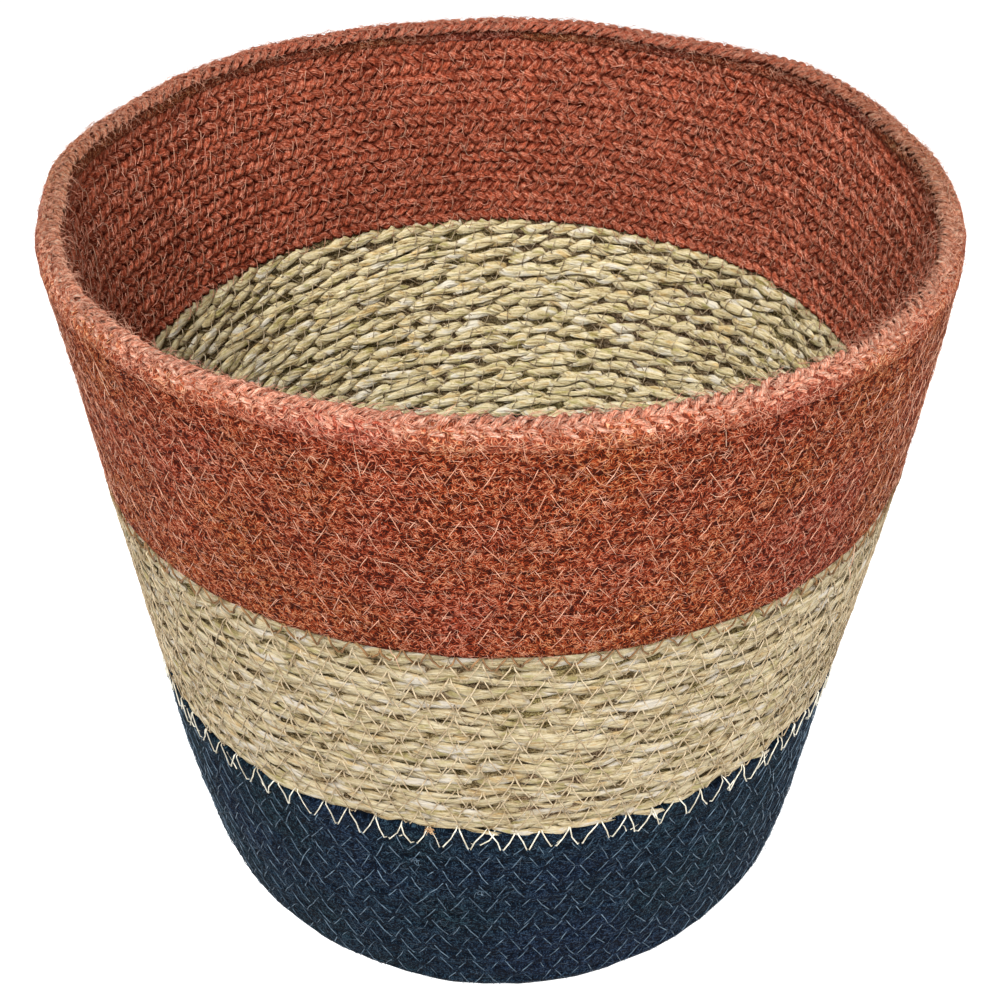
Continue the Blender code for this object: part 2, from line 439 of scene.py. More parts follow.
def wind(piece, tubes, start, rolled=False):
    """Wind straight strands onto the basket, from a length of cord on."""
    along, up, out = np.moveaxis(tubes, -1, 0)
    turns = turn_at(start + along)
    if rolled:
        up, out = roll_over(turns, up, out)
    points = on_spiral(turns, up, out)
    points[..., 2] = np.maximum(points[..., 2], STRAND_CLEARANCE)
    set_points(piece, points)


def set_fibres(mesh, distance, thickness, sides, twist, opened):
    """Store where each point lies in its yarn, and how open to the light it is.

    The place in the yarn is in millimetres and turns with the yarn's twist.
    """
    count, steps = thickness.shape
    corner = np.arange(sides) / sides * math.tau
    angle = corner + (distance * math.tau / twist)[:, None]
    angle = np.broadcast_to(angle, (count, steps, sides))
    width = thickness[..., None] / 2 * 1000
    along = (distance - distance[0])[None, :, None] * 1000 + np.arange(count)[:, None, None] * 977
    fibre = np.stack((np.cos(angle) * width, np.sin(angle) * width,
                      np.broadcast_to(along, angle.shape)), axis=-1)
    set_values(mesh, "fibre", "FLOAT_VECTOR", with_ends(fibre))
    set_values(mesh, "open", "FLOAT", with_ends(opened[..., None]))


def jute_plait(name, node, first, last, look, steps):
    """A length of the flat jute plait, with a number of steps in each repeat."""
    distance, turns = steps_between(first, last, PLAIT_REPEAT / steps)
    yarn = np.arange(PLAIT_YARNS)[:, None]
    below, above = row_edges(turns)
    half = (above + below) / 2
    centre = (above - below) / 2
    across, depth = plait_paths(distance, yarn, half - 0.0003, HALF_DEPTH)
    across = across + centre
    middle = JUTE_OUT * np.clip((turns - BASE_END) / 2, 0, 1)
    thickness = YARN * (1 + 0.12 * swell(distance, 0.017, yarn * 3 + 1)
                        + 0.17 * swell(distance, 0.0053, yarn * 5 + 2))
    piece, tubes = straight_strands(name, distance, across, middle - depth, thickness, 1)
    out = tubes[..., 2]
    # Painted shade: points deep in the plait, and near the edges of its row, get a low 'open'
    # value, from which the material paints them darker, as the shade in the hollows between yarns
    # and in the grooves between rows.
    opened = np.clip((np.abs(out - JUTE_OUT) / (HALF_DEPTH + YARN / 2) - 0.35) / 0.6, 0, 1)
    aside = np.abs(tubes[..., 1] - centre[:, None]) / half[:, None]
    opened = opened * np.clip((1.04 - aside) / 0.24, 0.1, 1)
    set_fibres(piece.data, distance, thickness, tubes.shape[2], YARN_TWIST, opened)
    tubes[..., 2] = pressed(out, JUTE_FACE - 0.0012, 0.15)
    wind(piece, tubes, distance[0])
    return finish_piece(piece, look, node)


def plait_paths(distance, yarn, swing, half_depth):
    """How far each yarn of the plait lies across it and into it."""
    phase = math.tau * (distance / PLAIT_REPEAT + yarn / PLAIT_YARNS)
    phase = phase + 0.60 * swell(distance, 0.083, 1)
    across = swing * 0.9 * (np.cos(phase) + np.cos(3 * phase) / 9)
    across = across + 0.00055 * swell(distance, 0.0085, yarn + 2)
    depth = half_depth * np.sin(2 * phase) + 0.00045 * swell(distance, 0.0063, yarn + 7)
    return across, depth


def rim_plait(name, node, look):
    """The rim's plait, made of three-ply yarns and rolled over the wall's top edge."""
    distance, turns = steps_between(RIM_START, RIM_END, PLAIT_REPEAT / 20)
    strand = np.arange(RIM_PLIES * PLAIT_YARNS)[:, None]
    yarn = strand // RIM_PLIES
    thin = np.clip(np.minimum(turns - RIM_START, RIM_END - turns) / RIM_LAP + 0.1, 0, 1)
    across, depth = plait_paths(distance, yarn, RIM_HALF_SWING * thin, RIM_HALF_DEPTH * thin)
    turned = math.tau * (distance / RIM_PLY_LAY + strand / RIM_PLIES) + 1.3 * yarn
    across = across + RIM_PLY_OFFSET * thin * np.cos(turned)
    depth = depth + RIM_PLY_OFFSET * thin * np.sin(turned)
    uneven = 1 + 0.15 * swell(distance, 0.011, strand * 3 + 1)
    thickness = RIM_PLY * uneven * (0.35 + 0.65 * thin)
    piece, tubes = straight_strands(name, distance, across, -depth, thickness, 1)
    out = tubes[..., 2]
    thick = RIM_HALF_DEPTH + RIM_PLY_OFFSET + RIM_PLY / 2
    # Painted shade: points deep between the plies get a low 'open' value, from which the material
    # paints them darker.
    opened = np.clip((np.abs(out) / thick - 0.20) / 0.6, 0, 1)
    set_fibres(piece.data, distance, thickness, tubes.shape[2], 0.009, opened)
    tubes[..., 2] = pressed(out, 0.0017, 0.5)
    wind(piece, tubes, distance[0], rolled=True)
    return finish_piece(piece, look, node)


def face_map(turns, tubes):
    """Millimetres round the basket and up its wall, the same from row to row.

    The way round is folded at the two sides, so that it has no jump.
    """
    folded = np.abs((turns + 0.5) % 1 - 0.5)[None, :, None] + 0 * tubes[..., 1]
    slant = 9 * np.sin(turns * math.tau)[None, :, None]
    up = (length_at(turns)[None, :, None] + tubes[..., 1]) * 1000 + slant
    return np.stack((folded * math.tau * 115, up, tubes[..., 2] * 1000), axis=-1)


def row_strip(name, first, last, look, front, back, step=0.0025):
    """A flat strip that fills each row from edge to edge, between two depths."""
    distance, turns = steps_between(first, last, step)
    below, above = row_edges(turns)
    flat = np.zeros((1, len(distance)))
    piece, tubes = straight_strands(name, distance, flat, flat, flat + 0.002, 4)
    corner = np.arctan2(tubes[0, 0, :, 2], tubes[0, 0, :, 1])
    share = np.clip(1.2 * np.cos(corner), -1, 1)
    half = (above + below) / 2 * 1.03
    tubes[0, ..., 1] = ((above - below) / 2)[:, None] + half[:, None] * share
    front = front - ROW_GROOVE * share ** 4 + 0.00012 * swell(distance, 0.009, 4)[:, None]
    edge = (front - ROW_GROOVE + back) / 2
    rise = np.sin(corner)
    tubes[0, ..., 2] = np.where(rise > 0.1, front, np.where(rise < -0.1, back, edge))
    tubes[0, ..., 0] = (distance - distance[0])[:, None]
    set_values(piece.data, "weave", "FLOAT_VECTOR", with_ends(face_map(turns, tubes)))
    # Painted shade: the strip's edges, in the grooves between rows, get a low 'open' value, from
    # which the felt paints them darker.
    opened = np.broadcast_to(1 - np.abs(share) ** 6, tubes.shape[:3])
    set_values(piece.data, "open", "FLOAT", with_ends(opened[..., None]))
    wind(piece, tubes, distance[0])
    return finish_piece(piece, look)


def rim_core(look):
    """The rolled edge of the wall, inside the rim's plait."""
    distance, turns = steps_between(RIM_START, RIM_START + 1, 0.0025)
    flat = np.zeros((1, len(distance)))
    piece, tubes = straight_strands("rim_core", distance, flat + RIM_CORE_UP, flat + RIM_CORE_OUT,
                                    flat + RIM_CORE, 3)
    set_values(piece.data, "weave", "FLOAT_VECTOR", with_ends(face_map(turns, tubes)))
    set_values(piece.data, "open", "FLOAT", with_ends(np.ones(tubes.shape[:3] + (1,))))
    wind(piece, tubes, distance[0])
    return finish_piece(piece, look)


def seagrass_cord(name, first, last, look):
    """A length of the two-ply seagrass cord."""
    distance, turns = steps_between(first, last, 0.0013)
    ply = np.arange(2)[:, None]
    below, above = row_edges(turns)
    size = (above + below) / SEAGRASS_PITCH
    angle = -math.tau * distance / SEAGRASS_LAY + ply * math.pi + 1.3 * swell(distance, 0.061, 4)
    reach = PLY_OFFSET * size * (1 + 0.15 * swell(distance, 0.031, ply + 9))
    thickness = PLY * size * (1 + 0.30 * swell(distance, 0.019, ply * 4 + 3))
    up = (above - below) / 2 + reach * np.cos(angle)
    out = reach * np.sin(angle) + SEAGRASS_OUT
    piece, tubes = straight_strands(name, distance, up, out, thickness, 2)
    stand = tubes[..., 2]
    # Painted shade: points deep between the plies get a low 'open' value, from which the leaf is
    # painted darker.
    opened = np.clip((np.abs(stand - SEAGRASS_OUT) / (PLY_OFFSET + PLY / 2) - 0.30) / 0.6, 0, 1)
    set_fibres(piece.data, distance, thickness, tubes.shape[2], LEAF_TWIST, opened)
    # Painted light: points on the cord's outer side are marked, and the material paints them
    # darker than the inner side, to even out the extra light that falls on the outside.
    outer = (stand > SEAGRASS_OUT).astype(float)
    set_values(piece.data, "face", "FLOAT", with_ends(outer[..., None]))
    face = SEAGRASS_FACE - 0.0010
    inner_face = 2 * SEAGRASS_OUT - face
    tubes[..., 2] = -pressed(-pressed(stand, face, 0.32), -inner_face, 0.4)
    wind(piece, tubes, distance[0])
    return finish_piece(piece, look, "seagrass_cord")


def leaf_slivers(name, count, look, seed, inner=False):
    """Loose ends and folds of leaf that lie flat along the seagrass rows."""
    chance = np.random.default_rng(seed)
    start = chance.uniform(distance_at(NAVY_TURNS + 0.1), distance_at(SEAGRASS_END - 0.9), count)
    reach = chance.uniform(0.007, 0.022, count)
    share = np.linspace(0, 1, 9)
    taper = np.sin(math.pi * (0.06 + 0.88 * share)) ** 0.6
    width = chance.uniform(0.0010, 0.0022, count)[:, None] * taper
    distance = start[:, None] + reach[:, None] * share
    turns = turn_at(distance)
    below, above = row_edges(turns)
    slope = chance.normal(-0.15, 0.09, count)[:, None]
    along = distance - start[:, None]
    up = chance.uniform(-0.45, 0.45, count)[:, None] * (above + below) + slope * along
    up = up + 0.0004 * np.sin(share * 5 + chance.uniform(0, 6, count)[:, None])
    rise = 0.0002 + 0.0004 * chance.uniform(0, 1, count)[:, None]
    rise = rise - 0.0006 * (1 - np.sin(math.pi * share))
    piece, tubes = strand_bundle(name, along, up, rise, width, 1)
    tubes[..., 2] = rise[..., None] + (tubes[..., 2] - rise[..., None]) * 0.22
    fibre = tubes * 1000 + np.arange(count)[:, None, None, None] * np.array([311, 97, 53])
    set_values(piece.data, "fibre", "FLOAT_VECTOR", with_ends(fibre[..., [1, 2, 0]]))
    lit = np.ones(tubes.shape[:3] + (1,))
    set_values(piece.data, "open", "FLOAT", with_ends(lit))
    # Painted light: leaves on the outer face are marked to be painted darker, like the cord's
    # outer side.
    set_values(piece.data, "face", "FLOAT", with_ends(lit * (not inner)))
    face = SEAGRASS_FACE - 0.0006
    out = 2 * SEAGRASS_OUT - face - tubes[..., 2] if inner else face + tubes[..., 2]
    turns = turn_at(tubes[..., 0] + start[:, None, None])
    if inner:
        piece.data.flip_normals()
    set_points(piece, on_spiral(turns, tubes[..., 1], out))
    return finish_piece(piece, look)


def thread_section():
    """Three-sided section of the thinnest threads and hairs."""
    curve = bpy.data.curves.new("thread_section", "CURVE")
    curve.dimensions = "2D"
    spline = curve.splines.new("POLY")
    spline.points.add(2)
    for index, point in enumerate(spline.points):
        angle = index * math.tau / 3
        point.co = (math.cos(angle), math.sin(angle), 0, 1)
    spline.use_cyclic_u = True
    section = bpy.data.objects.new("thread_section", curve)
    bpy.context.collection.objects.link(section)
    return section


def zigzag(first, last, stitch, low, high, inside=False, seed=1, bow=0.0005, sink=0.0, lift=0.0):
    """Points of the sewing thread as it zigzags over the seam below a turn.

    Inside the basket every other leg runs hidden under the cord.
    """
    start, end = distance_at(first), distance_at(last)
    legs = int((end - start) / stitch)
    chance = np.random.default_rng(seed)
    holes = start + (np.arange(legs + 1) + chance.uniform(-0.18, 0.18, legs + 1)) * stitch
    if inside:
        holes[1::2] -= 0.6 * stitch
    levels = np.where(np.arange(legs + 1) % 2 == 0, high, low)
    levels = levels + chance.uniform(-0.0007, 0.0007, legs + 1)
    shares = np.array([0.02, 0.14, 0.5, 0.86])
    lifts = np.array([-0.0014, 0.0000, 0.0002, 0.0000]) - chance.uniform(0, 1, (legs, 1)) * sink
    distance = holes[:-1, None] + np.diff(holes)[:, None] * shares
    up = levels[:-1, None] + np.diff(levels)[:, None] * shares
    distance = distance + chance.uniform(-bow, bow, (legs, 1)) * np.sin(math.pi * shares)
    turns = turn_at(distance)
    if inside:
        hidden = np.arange(legs)[:, None] % 2 * np.sin(math.pi * shares)
        hidden = hidden * chance.uniform(0.001, 0.004, (legs, 1))
        out = JUTE_INNER_FACE - lifts + hidden
    else:
        out = face_out(turns, up) + lifts + lift
    points = on_spiral(turns.ravel(), up.ravel(), out.ravel())
    points[:, 2] = np.maximum(points[:, 2], THREAD_CLEARANCE)
    return points


def stitches(name, runs, radius, look, section):
    """One piece of zigzag stitching, made of one or more runs of thread."""
    splines = [(points, np.full(len(points), radius)) for points in runs]
    piece = curve_to_mesh(name, splines, section)
    return finish_piece(piece, look)


def hairs(name, count, ends, length, radius, rise, look, section, seed, face="outer",
          bends=2):
    """Loose fibres that lie on a jute face between two turns and lift off it a little."""
    chance = np.random.default_rng(seed)
    distance = chance.uniform(distance_at(ends[0]), distance_at(ends[1]), count)
    heading = chance.normal(0, 1.0, count) + chance.choice([0, math.pi], count)
    reach = length * chance.uniform(0.4, 1.6, count)
    curl = chance.normal(0, 0.2, count) * reach
    lift = np.abs(chance.normal(0, rise, count)) * reach
    share = np.linspace(0, 1, bends + 1)
    along = reach[:, None] * share * np.cos(heading)[:, None]
    side = reach[:, None] * share * np.sin(heading)[:, None] + curl[:, None] * share ** 2
    side = side + (bends > 2) * 0.0010 * np.sin(9 * share + chance.uniform(0, 6, count)[:, None])
    away = lift[:, None] * share - 0.0003 * (share == 0)
    turns = turn_at(distance[:, None] + along)
    up = chance.uniform(-0.5, 0.5, count)[:, None] * TERRACOTTA_PITCH + side
    if face == "rim":
        around = chance.uniform(-0.9, 0.9, count)[:, None] + side / RIM_FACE
        around = around + RIM_LEAN + RIM_LEAN_SWAY * np.sin(turns * math.tau)
        up = RIM_AXIS_UP + (RIM_FACE - 0.0002 + away) * np.sin(around)
        out = RIM_AXIS_OUT + (RIM_FACE - 0.0002 + away) * np.cos(around)
    elif face == "inner":
        out = JUTE_INNER_FACE + 0.0003 - away + 0 * up
    else:
        out = face_out(turns, up) - 0.0001 + away
    points = on_spiral(turns, up, out)
    points[..., 2] = np.maximum(points[..., 2], STRAND_CLEARANCE)
    radii = radius * (1 - 0.65 * share ** 2)
    piece = curve_to_mesh(name, [(points[k], radii) for k in range(count)], section)
    return finish_piece(piece, look)


def tufts(name, places, reach, count, look, section):
    """Small tufts where sewing threads were knotted off or came to an end."""
    chance = np.random.default_rng(51)
    share = np.linspace(0, 1, 9)
    splines = []
    for turn, level in places:
        for index in range(count):
            around = chance.uniform(0, math.tau) + share * chance.uniform(1.0, 4.5)
            wide = reach * chance.uniform(0.2, 1.0) * (0.4 + share)
            distance = distance_at(turn) + wide * np.cos(around)
            distance = distance + chance.normal(0, 0.3) * reach * share
            up = level + wide * np.sin(around) * 0.8 - reach * share * (index % 3 == 0)
            stand = chance.uniform(0.0001, 0.0012)
            out = JUTE_FACE + stand * np.sin(share * chance.uniform(2, 5)) ** 2
            points = on_spiral(turn_at(distance), up, out + 0.0001)
            splines.append((points, 0.00011 * (1 - 0.5 * share)))
    piece = curve_to_mesh(name, splines, section)
    return finish_piece(piece, look)


def node_adder(tree):
    """A helper that adds a node to a tree, with its links and its settings."""
    def add(kind, links=(), **settings):
        node = tree.nodes.new(kind)
        for key, value in settings.items():
            if key in node.inputs:
                node.inputs[key].default_value = value
            else:
                setattr(node, key, value)
        for socket, source in dict(links).items():
            tree.links.new(source, node.inputs[socket])
        return node

    return add


def new_material(name):
    """An empty node material, its shader, and a helper that adds nodes."""
    material = bpy.data.materials.new(name)
    material.use_nodes = True
    tree = material.node_tree
    return material, tree.nodes["Principled BSDF"], node_adder(tree)


def ramp(add, source, stops):
    """Colours or greys that follow a value from 0 to 1."""
    node = add("ShaderNodeValToRGB", {"Fac": source})
    band = node.color_ramp
    while len(band.elements) < len(stops):
        band.elements.new(1)
    for element, (place, colour) in zip(band.elements, stops):
        element.position = place
        element.color = (*colour, 1) if isinstance(colour, tuple) else (colour, colour, colour, 1)
    return node.outputs["Color"]


def sum_of(add, first, second, share):
    """First value, and a share of the second added to it."""
    node = add("ShaderNodeMath", {0: second, 2: first}, operation="MULTIPLY_ADD")
    node.inputs[1].default_value = share
    return node.outputs[0]


def scaled(add, value, factor, offset):
    """A value times a factor, with an offset added."""
    node = add("ShaderNodeMath", {0: value}, operation="MULTIPLY_ADD")
    node.inputs[1].default_value = factor
    node.inputs[2].default_value = offset
    return node.outputs[0]


def joined(add, first, second, operation):
    """Two values joined by one operation."""
    return add("ShaderNodeMath", {0: first, 1: second}, operation=operation).outputs[0]


def stored(add, name, output="Fac"):
    """A value or a vector that the points of a mesh hold."""
    return add("ShaderNodeAttribute", attribute_name=name).outputs[output]


def fibre_noise(add, scale, detail=3.0, offset=(0, 0, 0)):
    """Noise that is drawn out along the yarn, in millimetres."""
    fibre = stored(add, "fibre", "Vector")
    stretched = add("ShaderNodeMapping", {"Vector": fibre}, Scale=scale, Location=offset)
    noise = add("ShaderNodeTexNoise", {"Vector": stretched.outputs["Vector"]},
                Scale=1.0, Detail=detail, Roughness=0.6)
    return noise.outputs["Fac"]


def crossed_fibres(add, length, width):
    """Short fibres that lie across each other in all directions on a face."""
    weave = stored(add, "weave", "Vector")
    bend = add("ShaderNodeTexNoise", {"Vector": weave}, Scale=0.5, Detail=1.0).outputs["Color"]
    bent = add("ShaderNodeVectorMath", {0: bend, 2: weave}, operation="MULTIPLY_ADD")
    bent.inputs[1].default_value = (1.2, 1.2, 0)
    crest = None
    for angle, shift in ((0.25, 3), (0.85, 41), (1.45, 83), (2.15, 127), (2.75, 171)):
        turned = add("ShaderNodeMapping", {"Vector": bent.outputs["Vector"]},
                     vector_type="TEXTURE", Rotation=(0, 0, angle),
                     Scale=(length, width, 1), Location=(shift, shift, 0))
        cell = add("ShaderNodeTexVoronoi", {"Vector": turned.outputs["Vector"]},
                   voronoi_dimensions="2D", Scale=1.0)
        ridge = scaled(add, cell.outputs["Distance"], -1.3, 1.0)
        share = scaled(add, cell.outputs["Color"], 1.3, 0.1)
        fibre = joined(add, ridge, share, "MULTIPLY")
        crest = joined(add, crest, fibre, "MAXIMUM") if crest else fibre
    return crest


def mix_colour(add, share, first, second, blend="MIX"):
    """Two colours mixed, by a value or a fixed share."""
    node = add("ShaderNodeMix", data_type="RGBA", blend_type=blend)
    tree = node.id_data
    for index, source in ((0, share), (6, first), (7, second)):
        if hasattr(source, "is_output"):
            tree.links.new(source, node.inputs[index])
        elif index == 0:
            node.inputs[0].default_value = source
        else:
            node.inputs[index].default_value = (*source, 1)
    return node.outputs[2]


def place_noise(add, scale, detail=2.0):
    """Noise that stays where it is on the basket."""
    place = add("ShaderNodeTexCoord").outputs["Object"]
    return add("ShaderNodeTexNoise", {"Vector": place}, Scale=scale, Detail=detail).outputs["Fac"]


def spread(add, value, low, high):
    """A value's range from low to high, spread over 0 to 1."""
    node = add("ShaderNodeMapRange", {"Value": value})
    node.inputs["From Min"].default_value = low
    node.inputs["From Max"].default_value = high
    return node.outputs["Result"]


def shade_by(add, colour, value, stops):
    """A colour made darker or lighter by a value."""
    return mix_colour(add, 1.0, colour, ramp(add, value, stops), "MULTIPLY")


def set_surface(shader, add, colour, roughness, shine, height=None, depth=0.0):
    """Finish a material: its colour, how dull or shiny it is, and its relief."""
    tree = shader.id_data
    tree.links.new(colour, shader.inputs["Base Color"])
    shader.inputs["Roughness"].default_value = roughness
    shader.inputs["Specular IOR Level"].default_value = shine
    if height:
        bump = add("ShaderNodeBump", {"Height": height}, Strength=1.0, Distance=depth)
        tree.links.new(bump.outputs["Normal"], shader.inputs["Normal"])


def yarn_material(name, dark, mid, light, painted_hollow_shade, painted_pit_shade=(0.55, 0.46, 0.44), painted_front_light=False):
    """Plaited jute: drawn-out fibres, blotches in the dye, and painted shade in the hollows
    between yarns and in the low pits of its knobby relief.
    """
    material, shader, add = new_material(name)
    streak = fibre_noise(add, (3.0, 3.0, 0.40))
    fine = fibre_noise(add, (8.0, 8.0, 1.2), 2.0, (7, 3, 0))
    level = sum_of(add, sum_of(add, streak, fine, 0.5), place_noise(add, 1100.0), 0.5)
    colour = ramp(add, spread(add, level, 0.75, 1.25), ((0.12, dark), (0.50, mid), (0.90, light)))
    colour = shade_by(add, colour, place_noise(add, 50.0), ((0.30, 0.80), (0.70, 1.0)))
    # Painted shade: the low pits of this knobby relief are painted darker as well as bumped.
    knob = place_noise(add, 480.0)
    colour = shade_by(add, colour, knob, ((0.36, painted_pit_shade), (0.56, 1.0)))
    # Painted shade: points deep between the yarns, and near the edges of a row, are painted
    # darker by their 'open' value.
    opened = stored(add, "open")
    colour = shade_by(add, colour, opened, ((0.0, painted_hollow_shade), (0.60, 1.0)))
    # Painted light: the rim keeps its full colour at the front of the basket, is painted darker
    # at its sides and darker and redder at its back, as light falling from the front makes it
    # look.
    if painted_front_light:
        place = add("ShaderNodeTexCoord").outputs["Object"]
        back = spread(add, add("ShaderNodeSeparateXYZ", {0: place}).outputs["Y"], -0.125, 0.125)
        colour = shade_by(add, colour, back, ((0.1, 1.0), (0.5, (0.61, 0.60, 0.52)),
                                              (0.9, (0.77, 0.52, 0.46))))
    set_surface(shader, add, colour, 0.95, 0.05, sum_of(add, level, knob, 2.4), 0.0013)
    return material


def felt_material(name, dark, mid, light, pale, painted_groove_shade, length=2.4, width=0.48, knobs=560.0):
    """Jute rubbed to a felt: short crossed fibres, painted paler on their crests and darker in
    the pits between them, partly as the fibres' own tones and partly as painted light and shade
    on the felt's relief.
    """
    material, shader, add = new_material(name)
    crossed = crossed_fibres(add, length, width)
    level = sum_of(add, crossed, place_noise(add, knobs, 3.0), 0.75)
    # Partly painted light and shade: the ramp makes the fibre crests paler and the pits between
    # them darker, beside the fibres' own tones.
    colour = ramp(add, spread(add, level, 0.70, 1.30),
                  ((0.12, dark), (0.42, mid), (0.72, light), (1.0, pale)))
    colour = shade_by(add, colour, place_noise(add, 45.0), ((0.30, 0.84), (0.70, 1.0)))
    colour = shade_by(add, colour, place_noise(add, 27.0), ((0.36, (1.0, 1.10, 0.92)),
                                                           (0.64, (0.96, 0.90, 1.06))))
    # Painted shade: the edges of each row, where it meets the next, are painted darker, as the
    # shade in the groove between rows.
    opened = stored(add, "open")
    colour = shade_by(add, colour, opened, ((0.0, painted_groove_shade), (0.7, 1.0)))
    set_surface(shader, add, colour, 0.95, 0.05, level, 0.0012)
    return material


def seagrass_material(name):
    """Dried leaf: creases along it, green and brown patches, papery pale skin, painted shade
    between its plies, and its outer side painted darker than its inner side.
    """
    material, shader, add = new_material(name)
    rib = fibre_noise(add, (1.0, 1.0, 0.10))
    line = fibre_noise(add, (4.0, 4.0, 0.20), 2.0, (5, 1, 0))
    patch = fibre_noise(add, (0.35, 0.35, 0.14), 2.0, (0, 9, 0))
    pale = fibre_noise(add, (0.24, 0.24, 0.10), 3.0, (4, 0, 31))
    level = sum_of(add, sum_of(add, rib, line, 0.25), place_noise(add, 1300.0), 0.25)
    colour = ramp(add, spread(add, level, 0.52, 1.00),
                  ((0.04, (0.170, 0.110, 0.040)), (0.20, (0.400, 0.300, 0.135)),
                   (0.42, (0.580, 0.475, 0.265)), (0.80, (0.720, 0.630, 0.420))))
    stain = ramp(add, patch, ((0.32, (0.66, 0.66, 0.42)), (0.44, (1.0, 1.0, 1.0)),
                              (0.58, (1.0, 1.0, 1.0)), (0.68, (0.94, 0.80, 0.60))))
    colour = mix_colour(add, 1.0, colour, stain, "MULTIPLY")
    paper = ramp(add, pale, ((0.56, 0.0), (0.64, 1.0)))
    colour = mix_colour(add, paper, colour, (0.68, 0.62, 0.50))
    # Painted shade in the hollows between the plies.
    opened = stored(add, "open")
    colour = shade_by(add, colour, opened, ((0.0, (0.42, 0.32, 0.18)), (0.55, 1.0)))
    # Painted light: the outer side is painted darker than the inner side, to even out the extra
    # light that falls on the outside.
    colour = shade_by(add, colour, stored(add, "face"),
                      ((0.3, (1.0, 1.0, 0.98)), (0.7, (0.56, 0.543, 0.540))))
    set_surface(shader, add, colour, 0.6, 0.35, level, 0.0010)
    return material


def thread_material(name, dark, light):
    """Sewing thread or loose fibre, in a colour that changes from place to place."""
    material, shader, add = new_material(name)
    colour = ramp(add, place_noise(add, 400.0), ((0.35, dark), (0.65, light)))
    set_surface(shader, add, colour, 0.7, 0.3)
    return material


def make_camera():
    """Camera at the photograph's angle, found from the basket's own ellipses."""
    data = bpy.data.cameras.new("photo_camera")
    camera = bpy.data.objects.new("photo_camera", data)
    bpy.context.scene.collection.objects.link(camera)
    data.sensor_width = 36
    data.lens = 50.4
    look_down = 0.6574
    far = 0.4552
    aside, aim = 0.00025, 0.1154
    camera.location = (aside, -far * math.cos(look_down), aim + far * math.sin(look_down))
    camera.rotation_euler = (math.pi / 2 - look_down, 0, 0)
    bpy.context.scene.camera = camera


def make_lamp(name, place, size, power):
    """Soft square lamp that points at the middle of the basket."""
    data = bpy.data.lights.new(name, "AREA")
    data.energy = power
    data.size = size
    lamp = bpy.data.objects.new(name, data)
    bpy.context.scene.collection.objects.link(lamp)
    x, y, z = place
    lamp.location = place
    lamp.rotation_euler = (math.atan2(math.hypot(x, y), z - 0.12), 0, math.atan2(x, -y))


def seen_strength(add, hidden, seen):
    """A strength of light where the eye or a reflection sees it, and elsewhere."""
    rays = add("ShaderNodeLightPath").outputs
    share = joined(add, rays["Is Camera Ray"], rays["Is Glossy Ray"], "ADD")
    share = joined(add, share, rays["Is Transmission Ray"], "ADD")
    return scaled(add, share, seen - hidden, hidden)


def make_studio():
    """White floor that keeps the basket's shadow, a pale world and soft lamps."""
    bpy.ops.mesh.primitive_plane_add(size=6)
    floor = bpy.context.object
    floor.name = "studio_floor"
    material, shader, add = new_material("studio_white")
    shader.inputs["Base Color"].default_value = (0.8, 0.8, 0.8, 1)
    shader.inputs["Roughness"].default_value = 1
    shader.inputs["Emission Color"].default_value = (1, 1, 1, 1)
    glow = seen_strength(add, 0, 0.45)
    material.node_tree.links.new(glow, shader.inputs["Emission Strength"])
    floor.data.materials.append(material)

    world = bpy.data.worlds.new("studio_world")
    bpy.context.scene.world = world
    world.use_nodes = True
    background = world.node_tree.nodes["Background"]
    background.inputs["Color"].default_value = (1, 1, 1, 1)
    strength = seen_strength(node_adder(world.node_tree), 0.28, 0.80)
    world.node_tree.links.new(strength, background.inputs["Strength"])
    make_lamp("key_lamp", (-0.16, -0.86, 1.25), 0.8, 39)
    make_lamp("right_lamp", (1.0, -0.6, 0.22), 0.7, 11)
    make_lamp("left_lamp", (-1.0, -0.6, 0.22), 0.7, 4)
    bpy.context.scene.view_settings.view_transform = "Standard"


def cuts_of(cuts):
    """The numbered lengths that a strand is cut into, with their first and last turns."""
    return enumerate(zip(cuts, cuts[1:]), 1)


def dress_terracotta():
    """The terracotta plait, its felted outer face and the rolled rim."""
    jute = yarn_material("terracotta_yarn", (0.215, 0.029, 0.012), (0.645, 0.138, 0.065),
                         (0.950, 0.420, 0.275), painted_hollow_shade=(0.30, 0.15, 0.12))
    rim_jute = yarn_material("rim_yarn", (0.340, 0.092, 0.045), (0.860, 0.330, 0.205),
                             (0.980, 0.700, 0.540), painted_hollow_shade=(0.26, 0.13, 0.10),
                             painted_pit_shade=(0.78, 0.72, 0.70), painted_front_light=True)
    felt = felt_material("terracotta_felt", (0.036, 0.0050, 0.002), (0.182, 0.0225, 0.0064),
                         (0.338, 0.0635, 0.0225), (0.570, 0.218, 0.118),
                         painted_groove_shade=(0.90, 0.88, 0.87))
    # Painted light: the rim core's felt is a lighter copy of the wall's felt, which lifts the
    # shade that falls on it under the rim.
    rim_felt_painted_lighter = felt_material("rim_felt_painted_lighter", (0.130, 0.026, 0.013), (0.340, 0.070, 0.032),
                             (0.500, 0.140, 0.070), (0.720, 0.340, 0.210),
                             painted_groove_shade=(0.90, 0.88, 0.87))
    rim_plait("terracotta_rim_plait", "terracotta_cord", rim_jute)
    rim_core(rim_felt_painted_lighter)
    row_strip("terracotta_felted_face", SEAGRASS_END, LAST_TURN - 1 + STEP_SHARE, felt,
              front=JUTE_FACE, back=-0.0006)
    for number, (first, last) in cuts_of(TERRACOTTA_CUTS):
        jute_plait(f"terracotta_wall_plait_{number}", "terracotta_cord", first, last, jute,
                   steps=14)


